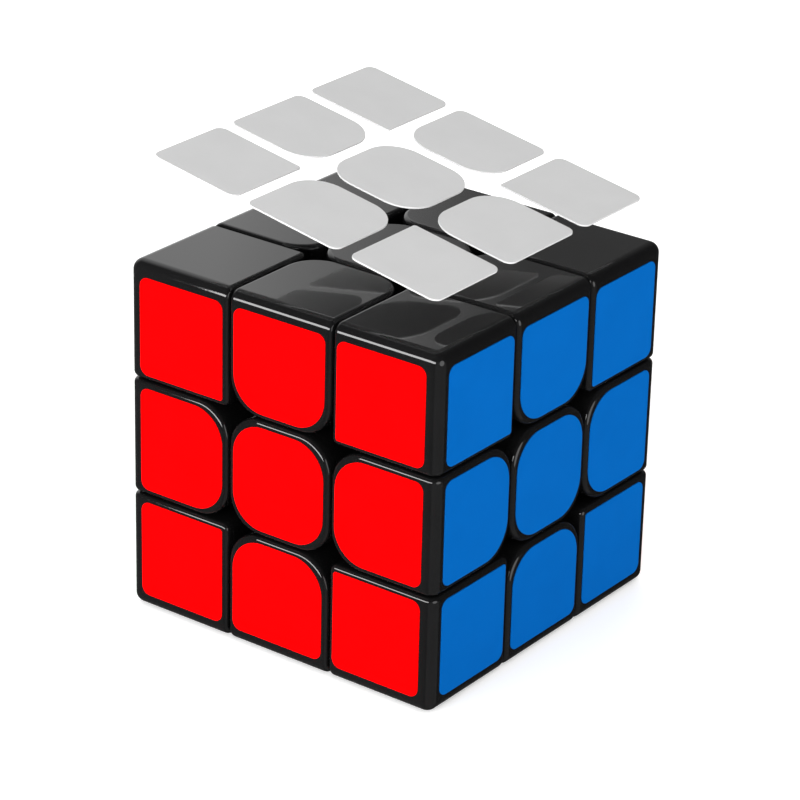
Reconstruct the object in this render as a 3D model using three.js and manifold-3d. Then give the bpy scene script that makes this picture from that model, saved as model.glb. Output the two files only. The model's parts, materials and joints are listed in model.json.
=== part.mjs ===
// A 3 x 3 x 3 twisty puzzle cube, 55.5 mm along each side, in millimetres with +Z up.
// A six-armed core carries six sprung centres, the centres trap the feet of twelve edges, and the
// edges trap the feet of eight corners. Nine thin white stickers stand lifted off the top layer.
//
// Each turning layer is cut out by surfaces of revolution about its own axis: a plane CUT from the
// middle outside the seat sphere, a plane FOOT_CUT from the middle inside it.
import * as THREE from 'three';
import { mergeVertices } from 'three/addons/utils/BufferGeometryUtils.js';
import Module from 'manifold-3d';

// Overall size and the cut planes.
const SIDE = 55.5;
const HALF = SIDE / 2;
const CUT = SIDE / 6;
const GROOVE = 0.3;
const FOOT_CUT = 4.6;
const FOOT_GAP = 0.4;

// The nested spheres: feet lie between FOOT_IN and FOOT_OUT, blocks start outside SEAT.
const FOOT_IN = 14.8;
const FOOT_OUT = 19.5;
const SEAT = 19.75;
const FINE_BALL = 3;
const COARSE_BALL = 2;

// Fillets of the blocks. Those above WIDE_FILLET_R are drawn with the most steps.
const CUBE_EDGE_R = 1.7;
const GROOVE_EDGE_R = 0.7;
const CORNER_INNER_R = 1.0;
const ROUND_INNER_R = 5.4;
const WIDE_FILLET_R = 3;
const WALL = 1.9;
const DRAIN_R = 1.6;

// Core, stems and caps.
const HUB_HALF = 6;
const ARM_R = 3.9;
const ARM_END = 12.6;
const PILOT_R = 1.5;
const PILOT_DEPTH = 7;
const STEM_R = FOOT_CUT - FOOT_GAP / 2;
const STEM_END = ARM_END + 0.3;
const STEM_FLOOR = 1.6;
const STEM_WALL_TOP_R = 4.9;
const BORE_R = 3.2;
const SHANK_HOLE_R = 1.6;
const CAP_THICK = 2;
const CAP_GAP = 0.2;
const PLUG_R = 3;
const PLUG_LENGTH = 2.2;

// Tension screw, spring and washer, measured outwards along a centre's axis.
const SHANK_R = 1.3;
const SHANK_START = 6.4;
const HEAD_R = 2.8;
const HEAD_START = 20.3;
const HEAD_THICK = 1.9;
const RECESS_LENGTH = 3.2;
const RECESS_WIDTH = 0.7;
const RECESS_DEPTH = 1;
const WASHER_START = 19.6;
const WASHER_THICK = 0.5;
const WASHER_IN_R = 1.6;
const WASHER_OUT_R = 2.9;
const SPRING_START = 15;
const SPRING_LENGTH = 4.1;
const SPRING_R = 2.3;
const SPRING_WIRE_R = 0.32;
const SPRING_WIRE_SIDES = 6;
const SPRING_TURNS = 3.5;

// Stickers: spans measured from the middle of a face, and the pose they are lifted to.
const STICKER_THICK = 0.25;
const STICKER_LIFTOFF = 0.05;
const MIDDLE_HALF = 8.15;
const OUTER_LOW = 10.27;
const OUTER_HIGH = 25.55;
const STICKER_CORNER_R = 1.4;
const STICKER_SHARP_R = 0.4;
const STICKER_ROUND_R = 5.2;
const PEEL_TILT = THREE.MathUtils.degToRad(10.25);
const PEEL_LIFT = 11.05;
const PEEL_AXIS_X = PEEL_LIFT / 2 / Math.tan(PEEL_TILT / 2);
const PEEL_AXIS_Z = HALF + PEEL_LIFT / 2;

// Reaches past the whole cube from its middle.
const BIG = 60;
const X = new THREE.Vector3(1, 0, 0);
const Y = new THREE.Vector3(0, 1, 0);
const Z = new THREE.Vector3(0, 0, 1);

const wasm = await Module();
wasm.setup();

// A three.js geometry as a manifold-3d solid.
function solid(geometry) {
  const g = geometry.clone();
  g.deleteAttribute('normal');
  g.deleteAttribute('uv');
  const merged = mergeVertices(g, 1e-4);
  return new wasm.Manifold(new wasm.Mesh({
    numProp: 3,
    vertProperties: merged.attributes.position.array,
    triVerts: new Uint32Array(merged.index.array),
  }));
}

// A manifold-3d solid as a three.js geometry.
function geometryOf(made) {
  const mesh = made.getMesh();
  const g = new THREE.BufferGeometry();
  g.setAttribute('position', new THREE.BufferAttribute(new Float32Array(mesh.vertProperties), 3));
  g.setIndex(new THREE.BufferAttribute(new Uint32Array(mesh.triVerts), 1));
  return g;
}

// The frame of a prism along axis 0, 1 or 2: its outline lies in the next two axes in turn.
const PRISM_BASIS = [
  new THREE.Matrix4().makeBasis(Y, Z, X),
  new THREE.Matrix4().makeBasis(Z, X, Y),
  new THREE.Matrix4().makeBasis(X, Y, Z),
];

// How many steps a quarter turn of fillet is drawn with.
function filletSteps(r) {
  if (r > WIDE_FILLET_R) return 5;
  return r > GROOVE_EDGE_R ? 3 : 2;
}

// A rectangle from (u0, v0) to (u1, v1) whose corners, anticlockwise from (u0, v0), have radii r.
function roundedRectangle(u0, u1, v0, v1, r) {
  const centres = [
    [u0 + r[0], v0 + r[0]],
    [u1 - r[1], v0 + r[1]],
    [u1 - r[2], v1 - r[2]],
    [u0 + r[3], v1 - r[3]],
  ];
  const points = [];
  centres.forEach(([u, v], corner) => {
    const steps = filletSteps(r[corner]);
    for (let i = 0; i <= steps; i++) {
      const angle = Math.PI + (corner + i / steps) * Math.PI / 2;
      points.push(new THREE.Vector2(u + r[corner] * Math.cos(angle), v + r[corner] * Math.sin(angle)));
    }
  });
  return new THREE.Shape(points);
}

// A prism of the given outline, from low to high along axis 0, 1 or 2.
function prism(axis, shape, low, high) {
  const g = new THREE.ExtrudeGeometry(shape, { depth: high - low, bevelEnabled: false });
  g.translate(0, 0, low);
  g.applyMatrix4(PRISM_BASIS[axis]);
  return solid(g);
}

function box(low, high) {
  const g = new THREE.BoxGeometry(high[0] - low[0], high[1] - low[1], high[2] - low[2]);
  g.translate((low[0] + high[0]) / 2, (low[1] + high[1]) / 2, (low[2] + high[2]) / 2);
  return solid(g);
}

// A cylinder of radius r along a direction through the middle, from low to high.
function cylinder(r, low, high, direction = Z, steps = 12) {
  const g = new THREE.CylinderGeometry(r, r, high - low, steps);
  g.translate(0, (low + high) / 2, 0);
  g.applyQuaternion(new THREE.Quaternion().setFromUnitVectors(Y, direction));
  return solid(g);
}

// A faceted ball that never reaches outside radius r.
function ball(r, detail = FINE_BALL) {
  return solid(new THREE.IcosahedronGeometry(r, detail));
}

// How far from the middle the nearest facet of a faceted unit ball lies.
function nearestFacet(detail) {
  const position = new THREE.IcosahedronGeometry(1, detail).attributes.position;
  const facet = new THREE.Triangle();
  const plane = new THREE.Plane();
  let nearest = 1;
  for (let i = 0; i < position.count; i += 3) {
    facet.setFromAttributeAndIndices(position, i, i + 1, i + 2);
    nearest = Math.min(nearest, Math.abs(facet.getPlane(plane).constant));
  }
  return nearest;
}

// A faceted ball that holds all of radius r inside it.
function ballAround(r, detail = FINE_BALL) {
  return ball(r / nearestFacet(detail), detail);
}

// A cell is [i, j, k], each 0 for the middle layer of that axis or 1 for the outer one.
function blockSpan(index) {
  return index ? [CUT + GROOVE / 2, HALF] : [GROOVE / 2 - CUT, CUT - GROOVE / 2];
}

function footSpan(index) {
  return index ? [FOOT_CUT + FOOT_GAP / 2, BIG] : [FOOT_GAP / 2 - FOOT_CUT, FOOT_CUT - FOOT_GAP / 2];
}

// The box of a cell for the feet.
function footBox(cell) {
  const spans = cell.map(footSpan);
  return box(spans.map((s) => s[0]), spans.map((s) => s[1]));
}

// The fillet along an axis where two sides of a block meet, each side outer or on a groove.
function filletRadius(cell, axis, outerA, outerB) {
  if (outerA && outerB) return CUBE_EDGE_R;
  if (outerA || outerB) return GROOVE_EDGE_R;
  const middleSides = cell.filter((index) => index === 0).length;
  return middleSides && cell[axis] ? ROUND_INNER_R : CORNER_INNER_R;
}

// The filleted block of a cell: three rounded prisms, one along each axis, in common.
function block(cell) {
  const prisms = [0, 1, 2].map((axis) => {
    const a = (axis + 1) % 3;
    const b = (axis + 2) % 3;
    const [a0, a1] = blockSpan(cell[a]);
    const [b0, b1] = blockSpan(cell[b]);
    const outer = [[0, 0], [1, 0], [1, 1], [0, 1]];
    const radii = outer.map(([onA, onB]) => (
      filletRadius(cell, axis, Boolean(onA && cell[a]), Boolean(onB && cell[b]))
    ));
    return prism(axis, roundedRectangle(a0, a1, b0, b1, radii), -BIG, BIG);
  });
  return prisms[0].intersect(prisms[1]).intersect(prisms[2]);
}

// An edge or corner: a hollow block outside the seat sphere, a foot in the shell below it, and
// the neck that joins them. A drain hole opens the hollow through the neck and the foot.
function cubie(cell) {
  const whole = block(cell);
  const footCell = footBox(cell);
  const inside = ballAround(FOOT_IN, COARSE_BALL);
  const shell = ball(FOOT_OUT).subtract(inside);
  const neckShell = ballAround(SEAT + 0.6, COARSE_BALL).subtract(inside);
  const neck = whole.intersect(footCell).intersect(neckShell);
  const inner = [];
  const outer = [];
  for (const index of cell) {
    const [low, high] = blockSpan(index);
    inner.push(low + WALL);
    outer.push(high - WALL);
  }
  const hollow = box(inner, outer).subtract(ballAround(SEAT + WALL, COARSE_BALL));
  const towards = new THREE.Vector3(...cell).normalize();
  return whole
    .subtract(ballAround(SEAT))
    .add(shell.intersect(footCell))
    .add(neck)
    .subtract(hollow)
    .subtract(cylinder(DRAIN_R, FOOT_IN - 1, SEAT + WALL + 2, towards, 8));
}

const CENTRE_CELL = [0, 0, 1];

// A centre without its cap: a shallow hollow block and a bored stem that stops short of the arm.
function centreBody() {
  const capPlane = HALF - CAP_THICK - CAP_GAP;
  const inset = blockSpan(0)[1] - WALL;
  const radii = Array(4).fill(ROUND_INNER_R - WALL);
  const pocket = prism(2, roundedRectangle(-inset, inset, -inset, inset, radii), SEAT + WALL, BIG)
    .subtract(cylinder(STEM_WALL_TOP_R, 0, BIG));
  return block(CENTRE_CELL)
    .subtract(ballAround(SEAT))
    .subtract(pocket)
    .add(cylinder(STEM_R, STEM_END, SEAT + WALL))
    .subtract(cylinder(BORE_R, STEM_END + STEM_FLOOR, BIG))
    .subtract(cylinder(SHANK_HOLE_R, 0, BIG, Z, 8))
    .subtract(box([-BIG, -BIG, capPlane], [BIG, BIG, BIG]));
}

// The cap that covers a centre's screw: a square plate with a round plug that enters the bore.
function capBody() {
  const capStart = HALF - CAP_THICK;
  return block(CENTRE_CELL)
    .intersect(box([-BIG, -BIG, capStart], [BIG, BIG, BIG]))
    .add(cylinder(PLUG_R, capStart - PLUG_LENGTH, capStart + CAP_THICK / 2));
}

function coreBody() {
  let made = box([-HUB_HALF, -HUB_HALF, -HUB_HALF], [HUB_HALF, HUB_HALF, HUB_HALF]);
  for (const axis of [X, Y, Z]) made = made.add(cylinder(ARM_R, -ARM_END, ARM_END, axis));
  for (const axis of [X, Y, Z]) {
    for (const side of [-1, 1]) {
      const direction = axis.clone().multiplyScalar(side);
      made = made.subtract(cylinder(PILOT_R, ARM_END - PILOT_DEPTH, ARM_END + 1, direction, 8));
    }
  }
  return made;
}

// The tension screw: shank, flat head and a cross recess.
function screwBody() {
  const top = HEAD_START + HEAD_THICK;
  const long = RECESS_LENGTH / 2;
  const wide = RECESS_WIDTH / 2;
  return cylinder(SHANK_R, SHANK_START, HEAD_START + 0.5, Z, 8)
    .add(cylinder(HEAD_R, HEAD_START, top))
    .subtract(box([-long, -wide, top - RECESS_DEPTH], [long, wide, top + 1]))
    .subtract(box([-wide, -long, top - RECESS_DEPTH], [wide, long, top + 1]));
}

function washerBody() {
  const profile = [
    new THREE.Vector2(WASHER_IN_R, WASHER_START),
    new THREE.Vector2(WASHER_OUT_R, WASHER_START),
    new THREE.Vector2(WASHER_OUT_R, WASHER_START + WASHER_THICK),
    new THREE.Vector2(WASHER_IN_R, WASHER_START + WASHER_THICK),
    new THREE.Vector2(WASHER_IN_R, WASHER_START),
  ];
  const g = new THREE.LatheGeometry(profile, 12);
  g.rotateX(Math.PI / 2);
  return solid(g);
}

class Helix extends THREE.Curve {
  getPoint(t, target = new THREE.Vector3()) {
    const angle = 2 * Math.PI * SPRING_TURNS * t;
    const height = SPRING_START + SPRING_LENGTH * t;
    return target.set(SPRING_R * Math.cos(angle), SPRING_R * Math.sin(angle), height);
  }
}

function springBody() {
  const wire = new THREE.Shape();
  for (let i = 0; i < SPRING_WIRE_SIDES; i++) {
    const angle = 2 * Math.PI * i / SPRING_WIRE_SIDES;
    const point = [SPRING_WIRE_R * Math.cos(angle), SPRING_WIRE_R * Math.sin(angle)];
    if (i) wire.lineTo(...point);
    else wire.moveTo(...point);
  }
  const steps = SPRING_TURNS * 8;
  return solid(new THREE.ExtrudeGeometry(wire, { steps, extrudePath: new Helix() }));
}

// A sticker of the top face in cell [i, j], i and j each -1, 0 or 1, lying on the face.
// Corners that meet four-way groove crossings are round beside the middle rows.
function stickerBody(i, j) {
  const span = (index) => {
    if (index === 0) return [-MIDDLE_HALF, MIDDLE_HALF];
    return index > 0 ? [OUTER_LOW, OUTER_HIGH] : [-OUTER_HIGH, -OUTER_LOW];
  };
  const [u0, u1] = span(i);
  const [v0, v1] = span(j);
  const radius = (u, v) => {
    if (Math.max(Math.abs(u), Math.abs(v)) > OUTER_LOW + 1) return STICKER_CORNER_R;
    return i && j ? STICKER_SHARP_R : STICKER_ROUND_R;
  };
  const corners = [[u0, v0], [u1, v0], [u1, v1], [u0, v1]];
  const radii = corners.map(([u, v]) => radius(u, v));
  const low = HALF + STICKER_LIFTOFF;
  return prism(2, roundedRectangle(u0, u1, v0, v1, radii), low, low + STICKER_THICK);
}

const black = new THREE.MeshStandardMaterial({ color: 0x151517, roughness: 0.3 });
const coreGrey = new THREE.MeshStandardMaterial({ color: 0x2a2b2e, roughness: 0.5 });
const steel = new THREE.MeshStandardMaterial({ color: 0xb8bbc0, roughness: 0.35, metalness: 1 });
const white = new THREE.MeshStandardMaterial({ color: 0xf2f2f2, roughness: 0.45 });

const cube = new THREE.Group();
cube.name = 'puzzle_cube';
cube.position.z = HALF;

// Adds a copy of a geometry, turned about the cube's middle.
function place(name, geometry, material, quaternion = new THREE.Quaternion()) {
  const g = geometry.clone().applyQuaternion(quaternion).toNonIndexed();
  g.computeVertexNormals();
  const mesh = new THREE.Mesh(g, material);
  mesh.name = name;
  cube.add(mesh);
}

// Face letters and the directions they look: up, down, right, left, front and back.
const FACES = {
  u: [0, 0, 1],
  d: [0, 0, -1],
  r: [1, 0, 0],
  l: [-1, 0, 0],
  f: [0, -1, 0],
  b: [0, 1, 0],
};

// The quarter turn that carries a piece's prototype cell to the cell of the given faces.
function turnTo(prototype, letters) {
  const goal = new THREE.Vector3();
  for (const letter of letters) goal.add(new THREE.Vector3(...FACES[letter]));
  for (let pitch = 0; pitch < 4; pitch++) {
    for (let roll = 0; roll < 4; roll++) {
      for (let yaw = 0; yaw < 4; yaw++) {
        const q = new THREE.Quaternion()
          .setFromAxisAngle(Z, yaw * Math.PI / 2)
          .multiply(new THREE.Quaternion().setFromAxisAngle(X, pitch * Math.PI / 2))
          .multiply(new THREE.Quaternion().setFromAxisAngle(Y, roll * Math.PI / 2));
        const reached = new THREE.Vector3(...prototype).applyQuaternion(q);
        if (reached.distanceTo(goal) < 1e-6) return q;
      }
    }
  }
  throw new Error('no turn reaches ' + letters);
}

place('core', geometryOf(coreBody()), coreGrey);

const perFace = {
  centre: [geometryOf(centreBody()), black],
  cap: [geometryOf(capBody()), black],
  screw: [geometryOf(screwBody()), steel],
  washer: [geometryOf(washerBody()), steel],
  spring: [geometryOf(springBody()), steel],
};
for (const letter of Object.keys(FACES)) {
  const turn = turnTo(CENTRE_CELL, letter);
  for (const [kind, [geometry, material]] of Object.entries(perFace)) {
    place(kind + '_' + letter, geometry, material, turn);
  }
}

const EDGE_CELL = [1, 0, 1];
const edge = geometryOf(cubie(EDGE_CELL));
for (const pair of ['ur', 'ul', 'uf', 'ub', 'dr', 'dl', 'df', 'db', 'fr', 'fl', 'br', 'bl']) {
  place('edge_' + pair, edge, black, turnTo(EDGE_CELL, pair));
}

const CORNER_CELL = [1, 1, 1];
const corner = geometryOf(cubie(CORNER_CELL));
for (const trio of ['urf', 'urb', 'ulf', 'ulb', 'drf', 'drb', 'dlf', 'dlb']) {
  place('corner_' + trio, corner, black, turnTo(CORNER_CELL, trio));
}

// The white stickers of the top face, tilted and lifted together as one flat sheet about an
// axis along Y beside the cube.
const lifted = new THREE.Matrix4()
  .makeTranslation(PEEL_AXIS_X, 0, PEEL_AXIS_Z)
  .multiply(new THREE.Matrix4().makeRotationY(PEEL_TILT))
  .multiply(new THREE.Matrix4().makeTranslation(-PEEL_AXIS_X, 0, -PEEL_AXIS_Z));
for (const i of [-1, 0, 1]) {
  for (const j of [-1, 0, 1]) {
    const side = ['l', '', 'r'][i + 1];
    const depth = ['f', '', 'b'][j + 1];
    const sticker = geometryOf(stickerBody(i, j)).applyMatrix4(lifted);
    place('sticker_u' + side + depth, sticker, white);
  }
}

export default cube;
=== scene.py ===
"""A 3 x 3 x 3 twisty puzzle cube with its nine white stickers lifted off the top layer."""

import json
import math

import bmesh
import bpy
from mathutils import Matrix, Vector


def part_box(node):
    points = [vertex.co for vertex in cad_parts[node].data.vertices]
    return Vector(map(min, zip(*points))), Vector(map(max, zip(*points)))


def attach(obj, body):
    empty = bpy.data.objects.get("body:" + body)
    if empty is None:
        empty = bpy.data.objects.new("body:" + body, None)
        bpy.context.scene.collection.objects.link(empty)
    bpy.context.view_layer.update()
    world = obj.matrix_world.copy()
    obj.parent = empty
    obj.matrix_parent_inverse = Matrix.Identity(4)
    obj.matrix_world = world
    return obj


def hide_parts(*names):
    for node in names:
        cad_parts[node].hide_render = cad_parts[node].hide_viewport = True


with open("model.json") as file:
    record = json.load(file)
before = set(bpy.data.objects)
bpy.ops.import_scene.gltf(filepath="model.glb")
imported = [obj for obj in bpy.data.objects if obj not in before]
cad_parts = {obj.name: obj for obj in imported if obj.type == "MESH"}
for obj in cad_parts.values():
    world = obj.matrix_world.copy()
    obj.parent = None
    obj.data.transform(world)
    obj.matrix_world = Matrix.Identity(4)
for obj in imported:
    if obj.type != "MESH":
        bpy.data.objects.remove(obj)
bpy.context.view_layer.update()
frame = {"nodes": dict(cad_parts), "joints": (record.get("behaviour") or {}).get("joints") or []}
METRES = 0.001

# Sizes in millimetres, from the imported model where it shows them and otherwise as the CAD
# source has them. Prototypes are made in millimetres about the cube's middle.
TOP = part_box("cap_u")[1].z / METRES
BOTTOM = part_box("cap_d")[0].z / METRES
HALF = (TOP - BOTTOM) / 2
MIDDLE = Vector((0, 0, (TOP + BOTTOM) / 2)) * METRES

# The blocks: a centre's runs out to BLOCK_MID, and its neighbours' start at BLOCK_IN.
BLOCK_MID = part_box("cap_u")[1].x / METRES
BLOCK_IN = 2 * HALF / 3 - BLOCK_MID
CUBE_EDGE_R = 1.7
GROOVE_EDGE_R = 0.75
CORNER_INNER_R = 1.0
ROUND_INNER_R = 5.4

# The feet run in a round shell under the blocks, from FOOT_IN to FOOT_OUT off the middle.
FOOT_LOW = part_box("corner_urf")[0].x / METRES
FOOT_HALF_WIDTH = 4.4
FOOT_IN = 14.8
FOOT_OUT = 19.5
SEAT_R = 19.75
NECK_SUNK = 0.8

# Centres and caps.
CAP_THICK = 2.0
CAP_GAP = 0.2
CENTRE_RIM_R = 0.1
PLUG_R = 3.0
PLUG_LENGTH = 2.2
STEM_END = 12.9
STEM_FLOOR = 1.6
STEM_R = 4.4
BORE_R = 3.2
SHANK_HOLE_R = 1.6

# The core and what holds a centre to it, measured outwards along the centre's axis.
HUB_HALF = 6
HUB_EDGE_R = 1
ARM_R = 3.9
ARM_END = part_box("core")[1].x / METRES
ARM_RIM_R = 0.5
PILOT_R = 1.5
PILOT_DEPTH = 7
SHANK_R = 1.3
SHANK_START = 6.4
THREAD_END = 12.4
THREAD_PITCH = 1.0
THREAD_DEPTH = 0.2
HEAD_R = 2.8
HEAD_START = 20.3
HEAD_END = 22.2
HEAD_RIM_R = 0.5
RECESS_LENGTH = 3.2
RECESS_WIDTH = 0.7
RECESS_DEPTH = 1
WASHER_START = 19.6
WASHER_END = 20.1
WASHER_IN_R = 1.6
WASHER_OUT_R = 2.9
WASHER_BEVEL = 0.1
SPRING_START = 15
SPRING_END = 19.1
SPRING_R = 2.3
SPRING_WIRE_R = 0.32
SPRING_TURNS = 3.5

# Stickers, measured from the middle of a face.
MIDDLE_HALF = 8.15
OUTER_LOW = 10.27
OUTER_HIGH = 25.55
STICKER_CORNER_R = 1.4
STICKER_SHARP_R = 0.45
STICKER_ROUND_R = 5.2
FILM_THICK = 0.14
LIFTED_THICK = 0.25
LIFTED_GAP = 0.05
FILM_RIM_R = 0.05

# How finely round shapes are divided. BEND_TANGENTS are the places, in fillet radii past a flat
# face, whose rays divide an eighth of a turn evenly.
FILLET_STEPS = 6
THIN_RIM_R = 0.3
THIN_RIM_STEPS = 2
ARC_STEPS = 10
CORNER_ARC_STEPS = 4
STICKER_ARC_STEPS = 12
BEND_STEPS = 5
BEND_TANGENTS = [math.tan(math.pi / 4 * j / BEND_STEPS) for j in range(BEND_STEPS + 1)]
BALL_SEGMENTS = 64
BALL_RINGS = 32
ROD_SIDES = 40
DISC_SIDES = 32
PILOT_SIDES = 24
HUB_EDGE_STEPS = 4
ROUND_PROFILE = 0.5
SCREW_SIDES = 24
THREAD_STEPS = 6
SPRING_STEPS = 28
SPRING_WIRE_SIDES = 10

# Points closer than JOIN are one point, and CLOSE is the rounding error of a place.
JOIN = 1e-4
CLOSE = 1e-6
# What a boolean leaves behind is cleaned up to these lengths.
WELD = 2e-3
SLIVER = 1e-3
SHARP_ANGLE = math.radians(28)
# Past every surface of the cube, for a cutter without an outer side.
BEYOND = 60

FACES = {
    "u": Vector((0, 0, 1)),
    "d": Vector((0, 0, -1)),
    "r": Vector((1, 0, 0)),
    "l": Vector((-1, 0, 0)),
    "f": Vector((0, -1, 0)),
    "b": Vector((0, 1, 0)),
}
EDGES = ["ur", "ul", "uf", "ub", "dr", "dl", "df", "db", "fr", "fl", "br", "bl"]
CORNERS = ["urf", "urb", "ulf", "ulb", "drf", "drb", "dlf", "dlb"]


# ---------------------------------------------------------------- camera
AZIMUTH = math.radians(36.26)
ELEVATION = math.radians(24.369)
ROLL = math.radians(1.442)
DISTANCE = 0.511113
SIDEWAYS = 0.000762
UPWARDS = 0.003413
LENS_MM = 155.04
SENSOR_MM = 36
NEAREST_SEEN = 0.01
FURTHEST_SEEN = 20


def make_camera():
    back = Vector((
        math.sin(AZIMUTH) * math.cos(ELEVATION),
        -math.cos(AZIMUTH) * math.cos(ELEVATION),
        math.sin(ELEVATION),
    ))
    level = Vector((math.cos(AZIMUTH), math.sin(AZIMUTH), 0))
    rise = back.cross(level)
    right = math.cos(ROLL) * level + math.sin(ROLL) * rise
    up = -math.sin(ROLL) * level + math.cos(ROLL) * rise
    data = bpy.data.cameras.new("camera")
    data.lens = LENS_MM
    data.sensor_width = SENSOR_MM
    data.clip_start = NEAREST_SEEN
    data.clip_end = FURTHEST_SEEN
    camera = bpy.data.objects.new("camera", data)
    bpy.context.scene.collection.objects.link(camera)
    turn = Matrix((right, up, back)).transposed()
    place = MIDDLE + back * DISTANCE + right * SIDEWAYS + up * UPWARDS
    camera.matrix_world = Matrix.Translation(place) @ turn.to_4x4()
    bpy.context.scene.camera = camera


make_camera()


# ---------------------------------------------------------------- mesh helpers
def mesh_from(name, polygons, warp=None):
    """A mesh from polygons given as lists of points, joined where the points meet."""
    bm = bmesh.new()
    for polygon in polygons:
        corners = []
        for point in polygon:
            spot = warp(point) if warp else Vector(point)
            if not corners or (spot - corners[-1]).length > JOIN:
                corners.append(spot)
        if (corners[0] - corners[-1]).length < JOIN:
            corners.pop()
        if len(corners) > 2:
            bm.faces.new([bm.verts.new(c) for c in corners])
    bmesh.ops.remove_doubles(bm, verts=bm.verts, dist=JOIN)
    bmesh.ops.recalc_face_normals(bm, faces=bm.faces)
    mesh = bpy.data.meshes.new(name)
    bm.to_mesh(mesh)
    bm.free()
    return mesh


def warp_edges(point):
    """Rounds the cube's outer edges and corners: each shell of a sharp cube becomes a round one."""
    flat = HALF - CUBE_EDGE_R
    core = Vector([max(-flat, min(flat, c)) for c in point])
    over = Vector(point) - core
    if over.length < CLOSE:
        return Vector(point)
    return core + over * (max(abs(c) for c in over) / over.length)


def circle(radius, height, sides=DISC_SIDES):
    angles = (2 * math.pi * i / sides for i in range(sides))
    return [Vector((radius * math.cos(a), radius * math.sin(a), height)) for a in angles]


def rounded_outline(u0, u1, v0, v1, radii, steps):
    """Anticlockwise points and inward directions of a rectangle with a radius at each corner."""
    centres = [
        (u0 + radii[0], v0 + radii[0]),
        (u1 - radii[1], v0 + radii[1]),
        (u1 - radii[2], v1 - radii[2]),
        (u0 + radii[3], v1 - radii[3]),
    ]
    outline = []
    for corner, (u, v) in enumerate(centres):
        for i in range(steps + 1):
            angle = math.pi + (corner + i / steps) * math.pi / 2
            out = Vector((math.cos(angle), math.sin(angle)))
            outline.append((Vector((u, v)) + radii[corner] * out, -out))
    return outline


def fillet_rings(rim, radius, steps):
    """Rings round a rim of (point, inward direction, depth direction), wall side first."""
    quarter = [math.pi / 2 * i / steps for i in range(steps + 1)]
    profile = [(radius * (1 - math.cos(q)), radius * (1 - math.sin(q))) for q in quarter]
    return [[p + n * inset + d * depth for p, n, d in rim] for inset, depth in profile]


def ring_quads(rings):
    """The walls between rings of points that have the same number of points each."""
    quads = []
    for low, high in zip(rings, rings[1:]):
        count = len(low)
        for i in range(count):
            j = (i + 1) % count
            quads.append([low[i], low[j], high[j], high[i]])
    return quads


def slab(name, outline, low, high, rim_radius):
    """A flat plate between two heights, its upper rim rounded."""
    rim = [
        (Vector((p.x, p.y, high)), Vector((n.x, n.y, 0)), Vector((0, 0, -1)))
        for p, n in outline
    ]
    steps = FILLET_STEPS if rim_radius > THIN_RIM_R else THIN_RIM_STEPS
    rings = fillet_rings(rim, rim_radius, steps)
    floor = [Vector((p.x, p.y, low)) for p, _ in outline]
    return mesh_from(name, ring_quads([floor] + rings) + [rings[-1], floor])


def disc(name, radius, low, high, rim_radius):
    """A round plate with a rounded upper rim."""
    outline = [(p.xy, -p.xy.normalized()) for p in circle(radius, 0)]
    return slab(name, outline, low, high, rim_radius)


def rod_mesh(radius, low, high, sides=ROD_SIDES):
    bottom = circle(radius, low, sides)
    top = circle(radius, high, sides)
    return mesh_from("rod", ring_quads([bottom, top]) + [bottom, top])


def box_mesh(low, high):
    corners = [
        Vector((x, y, z))
        for x in (low[0], high[0])
        for y in (low[1], high[1])
        for z in (low[2], high[2])
    ]
    sides = [(0, 1, 3, 2), (4, 6, 7, 5), (0, 4, 5, 1), (2, 3, 7, 6), (0, 2, 6, 4), (1, 5, 7, 3)]
    return mesh_from("box", [[corners[i] for i in side] for side in sides])


def ball_mesh(radius):
    bm = bmesh.new()
    bmesh.ops.create_uvsphere(
        bm, u_segments=BALL_SEGMENTS, v_segments=BALL_RINGS, radius=radius)
    mesh = bpy.data.meshes.new("ball")
    bm.to_mesh(mesh)
    bm.free()
    return mesh


def combine(mesh, operation, other):
    """The boolean of two closed meshes, as a new mesh."""
    a = bpy.data.objects.new("boolean_a", mesh)
    b = bpy.data.objects.new("boolean_b", other)
    for o in (a, b):
        bpy.context.scene.collection.objects.link(o)
    modifier = a.modifiers.new("boolean", "BOOLEAN")
    modifier.operation = operation
    modifier.object = b
    modifier.solver = "EXACT"
    bpy.context.view_layer.update()
    evaluated = a.evaluated_get(bpy.context.evaluated_depsgraph_get())
    made = bpy.data.meshes.new_from_object(evaluated)
    for o in (a, b):
        bpy.data.objects.remove(o)
    return made


def finish_mesh(mesh, name):
    """Tidies a boolean result and shades it smooth between its sharp edges."""
    bm = bmesh.new()
    bm.from_mesh(mesh)
    bmesh.ops.remove_doubles(bm, verts=bm.verts, dist=WELD)
    bmesh.ops.dissolve_degenerate(bm, dist=SLIVER, edges=bm.edges)
    bmesh.ops.recalc_face_normals(bm, faces=bm.faces)
    for f in bm.faces:
        f.smooth = True
    for e in bm.edges:
        e.smooth = not (e.is_manifold and e.calc_face_angle(0) > SHARP_ANGLE)
    made = bpy.data.meshes.new(name)
    bm.to_mesh(made)
    bm.free()
    return made


def turn_to(prototype, letters):
    """The turn in quarter steps that carries a prototype's cell to the cell of some faces."""
    goal = sum((FACES[c] for c in letters), Vector((0, 0, 0)))
    quarters = [math.pi / 2 * i for i in range(4)]
    for about_z in quarters:
        for about_x in quarters:
            for about_y in quarters:
                turn = (
                    Matrix.Rotation(about_z, 4, "Z")
                    @ Matrix.Rotation(about_x, 4, "X")
                    @ Matrix.Rotation(about_y, 4, "Y")
                )
                if (turn @ Vector(prototype) - goal).length < CLOSE:
                    return turn
    raise ValueError(letters)


def placed(mesh, turn, name):
    """A prototype's copy in metres, turned into its place round the cube's middle."""
    made = mesh.copy()
    made.name = name
    made.transform(Matrix.Translation(MIDDLE) @ Matrix.Scale(METRES, 4) @ turn)
    return made


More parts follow.
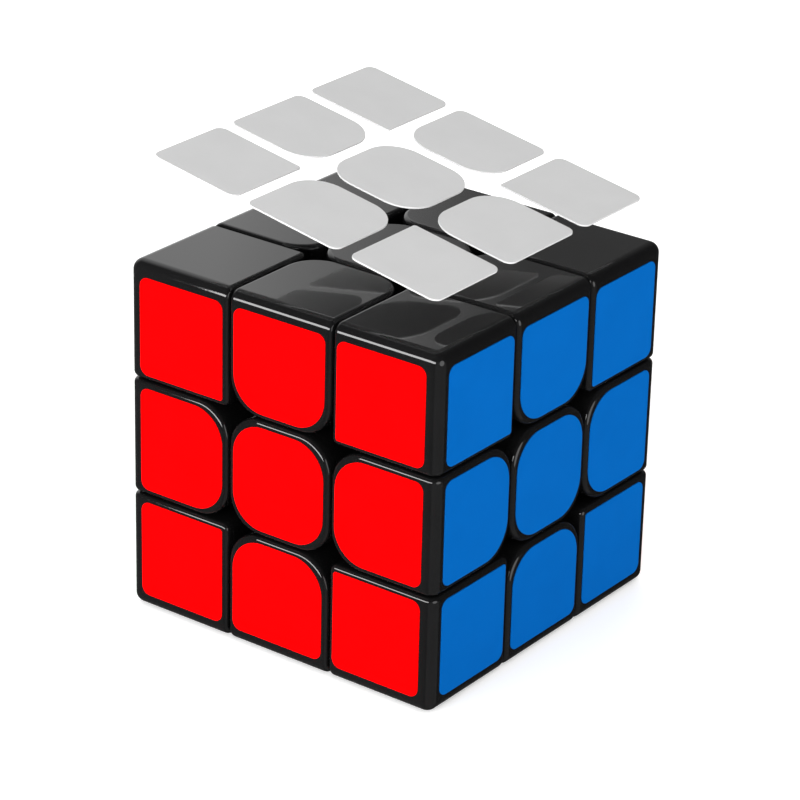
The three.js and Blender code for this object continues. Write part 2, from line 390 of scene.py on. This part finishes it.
# ---------------------------------------------------------------- edges and corners
def edge_block():
    """The block of an edge whose outer faces look along +X and +Z."""
    mid = BLOCK_MID - ROUND_INNER_R
    near = BLOCK_IN + ROUND_INNER_R
    stations = []
    for i in range(ARC_STEPS + 1):
        angle = math.pi - math.pi / 2 * i / ARC_STEPS
        c, s = math.cos(angle), math.sin(angle)
        spot = Vector((near + ROUND_INNER_R * c, mid + ROUND_INNER_R * s, HALF))
        stations.append((spot, Vector((-c, -s, 0)), Vector((0, 0, -1))))
    for t in BEND_TANGENTS:
        spot = Vector((HALF - CUBE_EDGE_R + CUBE_EDGE_R * t, BLOCK_MID, HALF))
        stations.append((spot, Vector((0, -1, 0)), Vector((-t, 0, -1))))

    def kept(v):
        return v

    def swapped(v):
        return Vector((v.z, v.y, v.x))

    def mirrored(v):
        return Vector((v.x, -v.y, v.z))

    other = [tuple(swapped(v) for v in s) for s in reversed(stations[:-1])]
    strip = stations + other
    back = [tuple(mirrored(v) for v in s) for s in reversed(strip)]
    rings = fillet_rings(strip + back, GROOVE_EDGE_R, FILLET_STEPS)
    polygons = ring_quads(rings)
    wall, face = rings[0], rings[-1]
    count = len(strip)
    for i in range(count - 1):
        polygons.append([face[i], face[i + 1], face[-2 - i], face[-1 - i]])
    feet = [Vector((wall[i].x, wall[i].y, wall[i].x)) for i in range(ARC_STEPS + 1)]
    for turn in (kept, swapped):
        for flip in (kept, mirrored):
            for i in range(ARC_STEPS):
                quad = [wall[i], wall[i + 1], feet[i + 1], feet[i]]
                polygons.append([turn(flip(v)) for v in quad])
        quad = [wall[0], feet[0], mirrored(feet[0]), mirrored(wall[0])]
        polygons.append([turn(v) for v in quad])
    side = wall[ARC_STEPS:count - ARC_STEPS] + [feet[-1]]
    polygons += [side, [mirrored(v) for v in side]]
    return mesh_from("edge_block", polygons, warp_edges)


def corner_block():
    """The block of a corner whose outer faces look along +X, +Y and +Z."""
    near = BLOCK_IN + CORNER_INNER_R
    flat = HALF - CUBE_EDGE_R
    bends = [flat + CUBE_EDGE_R * t for t in BEND_TANGENTS]

    def on_face(face, u, v, w):
        return Vector([(u, v, w), (w, u, v), (v, w, u)][face])

    rim = []
    arcs = []
    for face in range(3):
        start = len(rim)
        for i in range(CORNER_ARC_STEPS + 1):
            angle = math.pi + math.pi / 2 * i / CORNER_ARC_STEPS
            c, s = math.cos(angle), math.sin(angle)
            u, v = near + CORNER_INNER_R * c, near + CORNER_INNER_R * s
            spot = on_face(face, u, v, HALF)
            rim.append((spot, on_face(face, -c, -s, 0), on_face(face, 0, 0, -1)))
        arcs.append((start, len(rim) - 1))
        for u, t in zip(bends, BEND_TANGENTS):
            spot = on_face(face, u, BLOCK_IN, HALF)
            rim.append((spot, on_face(face, 0, 1, 0), on_face(face, -t, 0, -1)))
        following = (face + 1) % 3
        for v, t in reversed(list(zip(bends, BEND_TANGENTS))[:-1]):
            spot = on_face(following, BLOCK_IN, v, HALF)
            rim.append((spot, on_face(following, 1, 0, 0), on_face(following, 0, -t, -1)))
    rings = fillet_rings(rim, GROOVE_EDGE_R, FILLET_STEPS)
    polygons = ring_quads(rings)
    wall, face_ring = rings[0], rings[-1]
    inset = BLOCK_IN + GROOVE_EDGE_R
    bottoms = []
    for face in range(3):
        first, last = arcs[face]
        outer = [(flat, inset), (flat, flat), (inset, flat)]
        polygons.append(face_ring[first:last + 1] + [on_face(face, u, v, HALF) for u, v in outer])
        for a, b in zip(bends, bends[1:]):
            quads = [
                ((a, inset), (b, inset), (b, flat), (a, flat)),
                ((inset, a), (inset, b), (flat, b), (flat, a)),
            ]
            quads += [((a, c), (b, c), (b, d), (a, d)) for c, d in zip(bends, bends[1:])]
            for quad in quads:
                polygons.append([on_face(face, u, v, HALF) for u, v in quad])
        depth = on_face(face, 0, 0, 1)
        feet = [v + depth * (near - v.dot(depth)) for v in wall[first:last + 1]]
        for i in range(last - first):
            polygons.append([wall[first + i], wall[first + i + 1], feet[i + 1], feet[i]])
        bottoms += feet
        stop = arcs[(face + 1) % 3][0] if face < 2 else len(wall)
        polygons.append(wall[last:stop] + [wall[stop % len(wall)], feet[-1]])
    polygons.append(bottoms)
    return mesh_from("corner_block", polygons, warp_edges)


def cubie(block, foot_low, neck_low, high):
    """A block over the seat ball, joined by a neck to its foot in the shell below."""
    foot = combine(ball_mesh(FOOT_OUT), "INTERSECT", box_mesh(foot_low, high))
    neck = combine(ball_mesh(SEAT_R + NECK_SUNK), "INTERSECT", box_mesh(neck_low, high))
    foot = combine(foot, "UNION", neck)
    foot = combine(foot, "DIFFERENCE", ball_mesh(FOOT_IN))
    made = combine(block, "DIFFERENCE", ball_mesh(SEAT_R))
    return combine(made, "UNION", foot)


EDGE_MESH = finish_mesh(cubie(
    edge_block(),
    foot_low=(FOOT_LOW, -FOOT_HALF_WIDTH, FOOT_LOW),
    neck_low=(BLOCK_IN, -FOOT_HALF_WIDTH, BLOCK_IN),
    high=(BEYOND, FOOT_HALF_WIDTH, BEYOND),
), "edge")
CORNER_MESH = finish_mesh(cubie(
    corner_block(),
    foot_low=[FOOT_LOW] * 3,
    neck_low=[BLOCK_IN] * 3,
    high=[BEYOND] * 3,
), "corner")


# ---------------------------------------------------------------- centres and caps
def centre_outline():
    half = BLOCK_MID
    return rounded_outline(-half, half, -half, half, [ROUND_INNER_R] * 4, ARC_STEPS)


def centre_body_mesh():
    """A centre's block under its cap, with the stem that turns on the core's arm."""
    top = HALF - CAP_THICK - CAP_GAP
    made = slab("centre_body", centre_outline(), BLOCK_IN, top, CENTRE_RIM_R)
    made = combine(made, "DIFFERENCE", ball_mesh(SEAT_R))
    made = combine(made, "UNION", rod_mesh(STEM_R, STEM_END, SEAT_R + NECK_SUNK))
    made = combine(made, "DIFFERENCE", rod_mesh(BORE_R, STEM_END + STEM_FLOOR, HALF))
    return combine(made, "DIFFERENCE", rod_mesh(SHANK_HOLE_R, 0, HALF))


def cap_mesh():
    start = HALF - CAP_THICK
    made = slab("cap", centre_outline(), start, HALF, GROOVE_EDGE_R)
    plug = rod_mesh(PLUG_R, start - PLUG_LENGTH, start + CAP_THICK / 2)
    return combine(made, "UNION", plug)


CENTRE_MESH = finish_mesh(centre_body_mesh(), "centre")
CAP_MESH = finish_mesh(cap_mesh(), "cap")


# ---------------------------------------------------------------- core, screws, springs
def screw_mesh():
    """A tension screw: threaded end, plain shank, round head with a cross recess."""
    def thread_radius(height, i):
        turn = (height / THREAD_PITCH - i / SCREW_SIDES) % 1
        return SHANK_R - THREAD_DEPTH * abs(2 * turn - 1)

    count = round((THREAD_END - SHANK_START) / THREAD_PITCH * THREAD_STEPS)
    rings = []
    for k in range(count + 1):
        height = SHANK_START + THREAD_PITCH * k / THREAD_STEPS
        rings.append([
            p * (thread_radius(height, i) / SHANK_R) + Vector((0, 0, height))
            for i, p in enumerate(circle(SHANK_R, 0, SCREW_SIDES))
        ])
    rings.append(circle(SHANK_R, THREAD_END + THREAD_PITCH / 2, SCREW_SIDES))
    rings.append(circle(SHANK_R, HEAD_START + HEAD_RIM_R, SCREW_SIDES))
    made = mesh_from("shank", ring_quads(rings) + [rings[0], rings[-1]])
    made = combine(made, "UNION", disc("head", HEAD_R, HEAD_START, HEAD_END, HEAD_RIM_R))
    floor = HEAD_END - RECESS_DEPTH
    long, wide = RECESS_LENGTH / 2, RECESS_WIDTH / 2
    for x, y in ((long, wide), (wide, long)):
        slot = box_mesh((-x, -y, floor), (x, y, HEAD_END + 1))
        made = combine(made, "DIFFERENCE", slot)
    return made


def washer_mesh():
    profile = [
        (WASHER_IN_R, WASHER_START),
        (WASHER_OUT_R - WASHER_BEVEL, WASHER_START),
        (WASHER_OUT_R, WASHER_START + WASHER_BEVEL),
        (WASHER_OUT_R, WASHER_END - WASHER_BEVEL),
        (WASHER_OUT_R - WASHER_BEVEL, WASHER_END),
        (WASHER_IN_R, WASHER_END),
        (WASHER_IN_R, WASHER_START),
    ]
    return mesh_from("washer", ring_quads([circle(r, z) for r, z in profile]))


def spring_mesh():
    """A coil of round wire, cut flat at its ends."""
    count = round(SPRING_TURNS * SPRING_STEPS)
    section = [2 * math.pi * i / SPRING_WIRE_SIDES for i in range(SPRING_WIRE_SIDES)]
    up = Vector((0, 0, 1))
    rings = []
    for k in range(count + 1):
        angle = 2 * math.pi * SPRING_TURNS * k / count
        out = Vector((math.cos(angle), math.sin(angle), 0))
        middle = out * SPRING_R
        middle.z = SPRING_START + (SPRING_END - SPRING_START) * k / count
        rings.append([
            middle + SPRING_WIRE_R * (math.cos(a) * out + math.sin(a) * up) for a in section
        ])
    return mesh_from("spring", ring_quads(rings) + [rings[0], rings[-1]])


def hub_mesh():
    hub = box_mesh([-HUB_HALF] * 3, [HUB_HALF] * 3)
    bm = bmesh.new()
    bm.from_mesh(hub)
    bmesh.ops.bevel(
        bm, geom=bm.edges[:], offset=HUB_EDGE_R, segments=HUB_EDGE_STEPS,
        affect="EDGES", profile=ROUND_PROFILE)
    bm.to_mesh(hub)
    bm.free()
    return hub


def core_mesh():
    """The six-armed core: a rounded hub and six arms, each with a blind pilot hole."""
    made = hub_mesh()
    for letter in FACES:
        arm = disc("arm", ARM_R, 0, ARM_END, ARM_RIM_R)
        arm.transform(turn_to((0, 0, 1), letter))
        made = combine(made, "UNION", arm)
    for letter in FACES:
        pilot = rod_mesh(PILOT_R, ARM_END - PILOT_DEPTH, ARM_END + 1, PILOT_SIDES)
        pilot.transform(turn_to((0, 0, 1), letter))
        made = combine(made, "DIFFERENCE", pilot)
    return made


CORE_MESH = finish_mesh(core_mesh(), "core")
HARDWARE_MESHES = {
    "screw": finish_mesh(screw_mesh(), "screw"),
    "washer": finish_mesh(washer_mesh(), "washer"),
    "spring": finish_mesh(spring_mesh(), "spring"),
}


# ---------------------------------------------------------------- material nodes
def new_material(name):
    material = bpy.data.materials.new(name)
    material.use_nodes = True
    tree = material.node_tree
    tree.nodes.clear()
    output = tree.nodes.new("ShaderNodeOutputMaterial")
    shader = tree.nodes.new("ShaderNodeBsdfPrincipled")
    tree.links.new(shader.outputs["BSDF"], output.inputs["Surface"])
    return material, tree, shader


def node(tree, kind, **settings):
    """A node with its sockets, or failing that its properties, set by name."""
    made = tree.nodes.new(kind)
    for key, value in settings.items():
        if key in made.inputs:
            made.inputs[key].default_value = value
        else:
            setattr(made, key, value)
    return made


def noise(tree, scale, detail, roughness=0.5, stretch=None):
    """Noise over the object's own coordinates, in cells per metre."""
    place = tree.nodes.new("ShaderNodeTexCoord").outputs["Object"]
    if stretch:
        mapping = node(tree, "ShaderNodeMapping", Scale=stretch)
        tree.links.new(place, mapping.inputs["Vector"])
        place = mapping.outputs["Vector"]
    made = node(tree, "ShaderNodeTexNoise", Scale=scale, Detail=detail, Roughness=roughness)
    tree.links.new(place, made.inputs["Vector"])
    return made.outputs["Fac"]


def ramp(tree, fac, between, values=(0, 1)):
    """Runs from the first value to the second as fac goes between its two limits."""
    made = node(tree, "ShaderNodeMapRange")
    made.inputs["From Min"].default_value, made.inputs["From Max"].default_value = between
    made.inputs["To Min"].default_value, made.inputs["To Max"].default_value = values
    tree.links.new(fac, made.inputs["Value"])
    return made.outputs["Result"]


def blend_colours(tree, fac, a, b):
    made = node(tree, "ShaderNodeMix", data_type="RGBA")
    made.inputs["A"].default_value = (*a, 1)
    made.inputs["B"].default_value = (*b, 1)
    tree.links.new(fac, made.inputs["Factor"])
    return made.outputs["Result"]


def bump(tree, height, strength, distance, below=None):
    made = node(tree, "ShaderNodeBump", Strength=strength, Distance=distance)
    tree.links.new(height, made.inputs["Height"])
    if below:
        tree.links.new(below, made.inputs["Normal"])
    return made.outputs["Normal"]


# ---------------------------------------------------------------- materials
def plastic(name, dark, light, roughness, ior, ripple):
    """Moulded plastic: faint flow marks, handling scuffs and a fine surface ripple."""
    material, tree, shader = new_material(name)
    flow = noise(tree, scale=90, detail=4)
    scuff = noise(tree, scale=420, detail=5, roughness=0.65, stretch=(1, 1, 0.25))
    grain = noise(tree, scale=2600, detail=2)
    colour = blend_colours(tree, ramp(tree, flow, between=(0.35, 0.7)), dark, light)
    dullness = ramp(tree, scuff, between=(0.35, 0.75), values=roughness)
    waves = bump(tree, flow, strength=ripple, distance=0.00004)
    surface = bump(tree, grain, strength=0.12, distance=0.000006, below=waves)
    tree.links.new(colour, shader.inputs["Base Color"])
    tree.links.new(dullness, shader.inputs["Roughness"])
    tree.links.new(surface, shader.inputs["Normal"])
    shader.inputs["IOR"].default_value = ior
    return material


def film(name, colour, shade, roughness, ior):
    """Printed vinyl film: even colour with faint mottling, and a fine satin grain."""
    material, tree, shader = new_material(name)
    mottle = noise(tree, scale=160, detail=3)
    grain = noise(tree, scale=3800, detail=2)
    smear = noise(tree, scale=240, detail=4, roughness=0.6)
    print_colour = blend_colours(tree, ramp(tree, mottle, between=(0.3, 0.7)), colour, shade)
    dullness = ramp(tree, smear, between=(0.3, 0.7), values=(roughness - 0.05, roughness + 0.06))
    surface = bump(tree, grain, strength=0.1, distance=0.000008)
    tree.links.new(print_colour, shader.inputs["Base Color"])
    tree.links.new(dullness, shader.inputs["Roughness"])
    tree.links.new(surface, shader.inputs["Normal"])
    shader.inputs["IOR"].default_value = ior
    return material


def metal(name, colour, shade):
    """Plated steel with marks drawn out along one way."""
    material, tree, shader = new_material(name)
    marks = noise(tree, scale=900, detail=3, roughness=0.6, stretch=(1, 1, 0.1))
    plating = blend_colours(tree, ramp(tree, marks, between=(0.3, 0.7)), colour, shade)
    dullness = ramp(tree, marks, between=(0.3, 0.7), values=(0.25, 0.42))
    surface = bump(tree, marks, strength=0.15, distance=0.00001)
    tree.links.new(plating, shader.inputs["Base Color"])
    tree.links.new(dullness, shader.inputs["Roughness"])
    tree.links.new(surface, shader.inputs["Normal"])
    shader.inputs["Metallic"].default_value = 1
    return material


def coloured_film(name, colour, shade):
    return film(name, colour, shade, roughness=0.5, ior=1.03)


BLACK = plastic(
    "black_plastic", (0.0044, 0.0044, 0.0046), (0.0056, 0.0056, 0.0058),
    roughness=(0.03, 0.06), ior=1.5, ripple=0.03)
CORE = plastic(
    "core_plastic", (0.02, 0.02, 0.022), (0.03, 0.03, 0.032),
    roughness=(0.4, 0.5), ior=1.45, ripple=0.2)
STEEL = metal("steel", (0.55, 0.56, 0.58), (0.42, 0.43, 0.45))
WHITE_FILM = film(
    "sticker_film", (0.63, 0.63, 0.63), (0.61, 0.61, 0.61), roughness=0.45, ior=1.12)
FILMS = {
    "r": coloured_film("blue_film", (0.001, 0.115, 0.43), (0.0009, 0.109, 0.41)),
    "f": coloured_film("red_film", (0.95, 0.0006, 0.0012), (0.92, 0.0005, 0.001)),
    "l": coloured_film("green_film", (0.005, 0.34, 0.06), (0.004, 0.325, 0.055)),
    "b": coloured_film("orange_film", (0.98, 0.12, 0.002), (0.95, 0.112, 0.002)),
    "d": coloured_film("yellow_film", (0.95, 0.72, 0.004), (0.92, 0.69, 0.004)),
}

# The material and the record's slot of each kind of CAD node. All others are black plastic.
FINISHES = {
    "core": (CORE, "core_plastic"),
    "screw": (STEEL, "steel"),
    "washer": (STEEL, "steel"),
    "spring": (STEEL, "steel"),
    "sticker": (WHITE_FILM, "sticker_film"),
}


def finish_of(node_name):
    return FINISHES.get(node_name.split("_")[0], (BLACK, "black_plastic"))


for node_name, solid in frame["nodes"].items():
    solid.data.materials.clear()
    solid.data.materials.append(finish_of(node_name)[0])


# ---------------------------------------------------------------- the cube's pieces
def add_object(name, mesh, material, body):
    """A visible piece that rides on a body, shaded flat where it is flat and round at its rims."""
    piece = bpy.data.objects.new(name, mesh)
    bpy.context.scene.collection.objects.link(piece)
    mesh.materials.clear()
    mesh.materials.append(material)
    modifier = piece.modifiers.new("normals", "WEIGHTED_NORMAL")
    modifier.keep_sharp = True
    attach(piece, body)
    return piece


def add_moulding(node_name, mesh, prototype, letters, body):
    """The finer piece that stands for a CAD node, from its prototype in another cell."""
    name = node_name + "_moulding"
    material, slot = finish_of(node_name)
    piece = add_object(name, placed(mesh, turn_to(prototype, letters), name), material, body)
    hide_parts(node_name)


for pair in EDGES:
    add_moulding("edge_" + pair, EDGE_MESH, (1, 0, 1), pair, "edge_" + pair)
for trio in CORNERS:
    add_moulding("corner_" + trio, CORNER_MESH, (1, 1, 1), trio, "corner_" + trio)
for letter in FACES:
    add_moulding("centre_" + letter, CENTRE_MESH, (0, 0, 1), letter, "centre_" + letter)
    add_moulding("cap_" + letter, CAP_MESH, (0, 0, 1), letter, "centre_" + letter)
add_moulding("core", CORE_MESH, (0, 0, 1), "u", "core")
for letter in FACES:
    for kind, mesh in HARDWARE_MESHES.items():
        add_moulding(f"{kind}_{letter}", mesh, (0, 0, 1), letter, "core")


# ---------------------------------------------------------------- stickers
CELLS = [(i, j) for i in (-1, 0, 1) for j in (-1, 0, 1)]


def sticker_span(index):
    if index == 0:
        return -MIDDLE_HALF, MIDDLE_HALF
    return (OUTER_LOW, OUTER_HIGH) if index > 0 else (-OUTER_HIGH, -OUTER_LOW)


def sticker_mesh(name, i, j, low, thick):
    """A sticker of cell (i, j) on a face that looks along +Z."""
    u0, u1 = sticker_span(i)
    v0, v1 = sticker_span(j)

    def radius(u, v):
        if max(abs(u), abs(v)) == OUTER_HIGH:
            return STICKER_CORNER_R
        return STICKER_SHARP_R if i and j else STICKER_ROUND_R

    radii = [radius(*c) for c in ((u0, v0), (u1, v0), (u1, v1), (u0, v1))]
    outline = rounded_outline(u0, u1, v0, v1, radii, STICKER_ARC_STEPS)
    return finish_mesh(slab(name, outline, low, low + thick, FILM_RIM_R), name)


def block_at(cell):
    """The kind and the face letters of the block in a cell, given as a vector of -1, 0 and 1."""
    touched = {letter for letter in FACES if cell.dot(FACES[letter]) > 0.5}
    for kind, names in (("centre", FACES), ("edge", EDGES), ("corner", CORNERS)):
        for name in names:
            if set(name) == touched:
                return kind, name
    raise ValueError(cell)


def add_coloured_sticker(face, i, j):
    turn = turn_to((0, 0, 1), face)
    kind, letters = block_at(turn @ Vector((i, j, 1)))
    name = f"film_{face}_{letters}"
    mesh = placed(sticker_mesh(name, i, j, HALF, FILM_THICK), turn, name)
    add_object(name, mesh, FILMS[face], f"{kind}_{letters}")


def add_lifted_sticker(i, j, lift):
    _, letters = block_at(Vector((i, j, 1)))
    name = "white_" + letters
    mesh = sticker_mesh(name, i, j, HALF + LIFTED_GAP, LIFTED_THICK)
    mesh = placed(mesh, Matrix.Identity(4), name)
    mesh.transform(lift)
    piece = add_object(name, mesh, WHITE_FILM, "sticker_" + letters)
    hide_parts("sticker_" + letters)


def lift_off():
    """The turn of the peel joint from its low limit, flat on the top face, back to rest."""
    peel = next(j for j in frame["joints"] if j["name"] == "peel_u")
    hinge = Vector(peel["pos_m"])
    angle = -math.radians(peel["range_deg"][0])
    turn = Matrix.Rotation(angle, 4, "Y")
    return Matrix.Translation(hinge) @ turn @ Matrix.Translation(-hinge)


for face in FILMS:
    for i, j in CELLS:
        add_coloured_sticker(face, i, j)
for i, j in CELLS:
    add_lifted_sticker(i, j, lift_off())


# ---------------------------------------------------------------- studio
FLOOR_REACH = 3.0
FLOOR_CELLS = 8
FLOOR_CLEARANCE = 0.02
WALL_LOW = -0.1
WALL_HIGH = 2.5
WALL_SIDES = 64

# The floor's own glow whitens it away from the cube, and leaves the contact shadow.
NEAR_GLOW = 0.4
FAR_GLOW = 1.0
GLOW_STARTS = 0.12
GLOW_ENDS = 0.6

# What the gloss reflects of the room: a dim surround, brighter on the left, a large soft panel
# behind on the left with a straight edge, and a faint glow from the floor on the right.
SURROUND_LIMITS = (-0.5, 0.4)
SURROUND_STRENGTHS = (0.12, 0.04)
PANEL_TOWARDS = Vector((-0.6, 0.68, 0.42))
PANEL_LIMITS = (0.62, 0.9)
PANEL_SIDE = Vector((-0.804, -0.595, 0))
PANEL_SIDE_LIMITS = (-0.04, 0.05)
PANEL_SIDE_STRENGTHS = (0.09, 1)
LOW_GLOW_TOWARDS = Vector((0.875, -0.251, -0.413))
LOW_GLOW_LIMITS = (0.6, 0.67)
LOW_GLOW_STRENGTHS = (0, 0.18)


def add_backdrop(name, mesh):
    """A pale, glowing studio surface that never shows in glossy plastic."""
    material, tree, shader = new_material(name)
    shade = ramp(tree, noise(tree, scale=3, detail=2), between=(0.3, 0.7), values=(0.92, 0.94))
    tree.links.new(shade, shader.inputs["Base Color"])
    shader.inputs["Roughness"].default_value = 0.9
    shader.inputs["IOR"].default_value = 1.05
    shader.inputs["Emission Color"].default_value = (1, 1, 1, 1)
    shader.inputs["Emission Strength"].default_value = FAR_GLOW
    mesh.materials.append(material)
    surface = bpy.data.objects.new(name, mesh)
    surface.visible_glossy = False
    bpy.context.scene.collection.objects.link(surface)
    return surface, tree, shader


def make_floor():
    bm = bmesh.new()
    bmesh.ops.create_grid(bm, x_segments=FLOOR_CELLS, y_segments=FLOOR_CELLS, size=FLOOR_REACH)
    mesh = bpy.data.meshes.new("studio_floor")
    bm.to_mesh(mesh)
    bm.free()
    floor, tree, shader = add_backdrop("studio_floor", mesh)
    floor.location.z = (BOTTOM - FILM_THICK - FLOOR_CLEARANCE) * METRES
    place = tree.nodes.new("ShaderNodeTexCoord").outputs["Object"]
    distance = node(tree, "ShaderNodeVectorMath", operation="LENGTH")
    tree.links.new(place, distance.inputs[0])
    glow = ramp(
        tree, distance.outputs["Value"], between=(GLOW_STARTS, GLOW_ENDS),
        values=(NEAR_GLOW, FAR_GLOW))
    tree.links.new(glow, shader.inputs["Emission Strength"])


def make_wall():
    """A pale round wall beyond the lights, only for the camera to see above the floor."""
    rings = [circle(FLOOR_REACH, height, WALL_SIDES) for height in (WALL_LOW, WALL_HIGH)]
    wall, _, _ = add_backdrop("studio_wall", mesh_from("studio_wall", ring_quads(rings)))
    wall.visible_diffuse = False
    wall.visible_shadow = False


def make_world():
    world = bpy.data.worlds.new("studio")
    bpy.context.scene.world = world
    world.use_nodes = True
    tree = world.node_tree
    background = tree.nodes["Background"]
    direction = tree.nodes.new("ShaderNodeTexCoord").outputs["Generated"]

    def along(axis):
        made = node(tree, "ShaderNodeVectorMath", operation="DOT_PRODUCT")
        made.inputs[1].default_value = axis
        tree.links.new(direction, made.inputs[0])
        return made.outputs["Value"]

    def combined(operation, a, b):
        made = node(tree, "ShaderNodeMath", operation=operation)
        tree.links.new(a, made.inputs[0])
        tree.links.new(b, made.inputs[1])
        return made.outputs["Value"]

    surround = ramp(tree, along(FACES["r"]), SURROUND_LIMITS, SURROUND_STRENGTHS)
    panel = combined(
        "MULTIPLY",
        ramp(tree, along(PANEL_TOWARDS), PANEL_LIMITS),
        ramp(tree, along(PANEL_SIDE), PANEL_SIDE_LIMITS, PANEL_SIDE_STRENGTHS),
    )
    low_glow = ramp(tree, along(LOW_GLOW_TOWARDS), LOW_GLOW_LIMITS, LOW_GLOW_STRENGTHS)
    total = combined("ADD", combined("ADD", surround, panel), low_glow)
    tree.links.new(total, background.inputs["Strength"])
    background.inputs["Color"].default_value = (1, 1, 1, 1)


def area_light(name, place, size, watts, shape="RECTANGLE", mirrored=False):
    """A soft box aimed at the cube. Only a mirrored one shows in glossy surfaces."""
    data = bpy.data.lights.new(name, "AREA")
    data.shape = shape
    data.size, data.size_y = size
    data.energy = watts
    light = bpy.data.objects.new(name, data)
    light.location = place
    light.rotation_mode = "QUATERNION"
    light.rotation_quaternion = (MIDDLE - Vector(place)).to_track_quat("-Z", "Y")
    light.visible_glossy = mirrored
    bpy.context.scene.collection.objects.link(light)


make_floor()
make_wall()
make_world()
area_light("key", place=(-0.115, -0.93, 0.25), size=(1.06, 0.28), watts=11, mirrored=True)
area_light("fill", place=(0.6, -0.46, 0.81), size=(0.95, 0.95), watts=6.0)
area_light(
    "side", place=(1.0, -0.17, 0.13), size=(0.84, 0.84), watts=3.7, shape="DISK", mirrored=True)
area_light("top", place=(-0.1, 0.05, 1.0), size=(0.9, 0.9), watts=2.4)
area_light("back", place=(-0.6, 0.9, 0.35), size=(0.7, 0.6), watts=3.2)

bpy.context.scene.view_settings.view_transform = "Standard"
